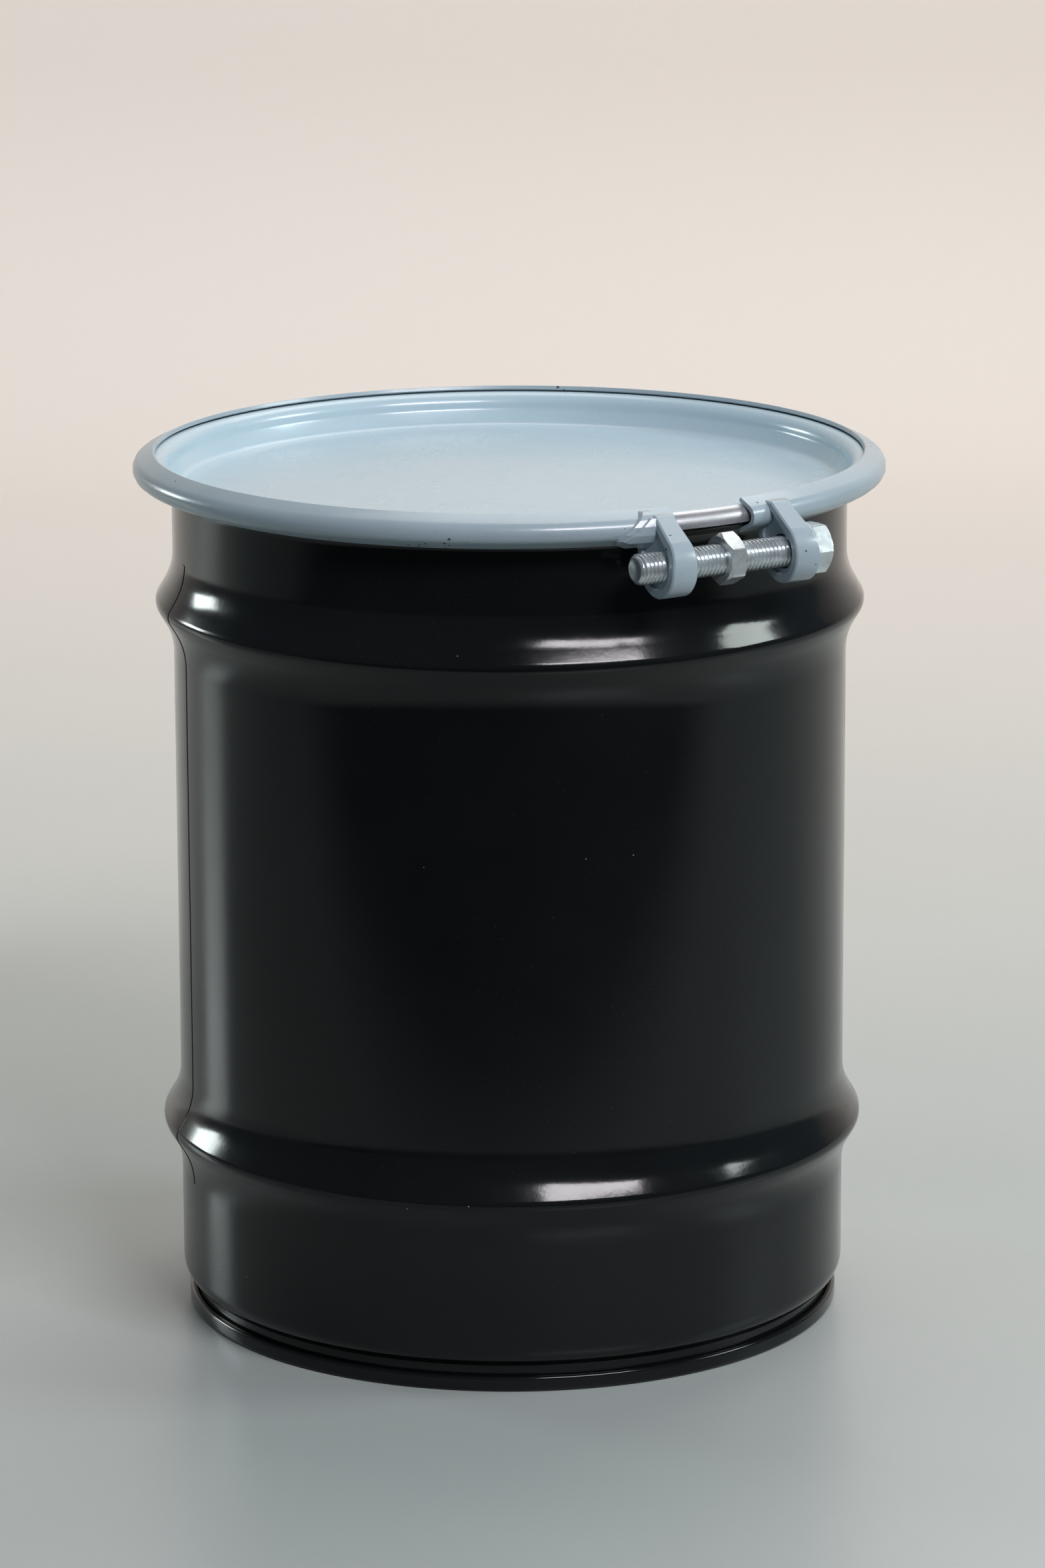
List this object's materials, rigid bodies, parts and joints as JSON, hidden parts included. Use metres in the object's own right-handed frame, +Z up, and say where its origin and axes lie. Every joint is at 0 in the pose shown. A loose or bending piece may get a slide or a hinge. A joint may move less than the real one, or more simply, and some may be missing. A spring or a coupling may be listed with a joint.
{
  "type": "open-head drum",
  "caption": "Open-head steel drum with rolled hoops, recessed cover with gasket, and a bolted closure ring that clamps the cover to the curled rim.",
  "frame": {"origin": "on the drum's axis, in the plane of the floor that the chime stands on", "axes": "+Z up the drum's axis; -Y from the axis through the middle of the ring's gap; +X along the bolt towards its head"},
  "size_m": [0.396, 0.4171, 0.4642],
  "materials": {
    "black_enamel": "gloss",
    "cover_enamel": "satin",
    "ring_enamel": "satin",
    "zinc_plate": "zinc plated",
    "gasket_rubber": "matt",
    "seam_sealant": "matt"
  },
  "bodies": {
    "drum": {"body_shell": "black_enamel", "bottom_head": "black_enamel", "seam_compound": "seam_sealant"},
    "lid": {"cover": "cover_enamel", "cover_gasket": "gasket_rubber"},
    "ring": {"closure_ring": "ring_enamel", "plain_lug": "ring_enamel", "plain_lug_weld": "ring_enamel"},
    "ring_end": {"threaded_lug": "ring_enamel", "threaded_lug_weld": "ring_enamel"},
    "bolt": {"bolt": "zinc_plate"},
    "jam_nut": {"jam_nut": "zinc_plate"}
  },
  "joints": [
    {"name": "cover_lift", "type": "slide", "parent": "drum", "child": "lid", "axis": [0, 0, 1], "range_m": [0, 0.15]},
    {"name": "ring_lift", "type": "slide", "parent": "lid", "child": "ring", "axis": [0, -0.7071, 0.7071], "range_m": [0, 0.08]},
    {"name": "bolt_turn", "type": "hinge", "parent": "ring", "child": "bolt", "pos_m": [0, -0.20298, 0.4378], "axis": [1, 0, 0], "range_deg": [0, 3600]},
    {"name": "lug_travel", "type": "slide", "parent": "ring", "child": "ring_end", "axis": [-1, 0, 0], "range_m": [0, 0.0235], "deforming": ["closure_ring"]},
    {"name": "nut_travel", "type": "slide", "parent": "bolt", "child": "jam_nut", "axis": [1, 0, 0], "range_m": [-0.0222, 0.0262]}
  ],
  "couplings": [
    {"joint": "lug_travel", "follows": "bolt_turn", "m_per_rad": 0.0003675}
  ]
}
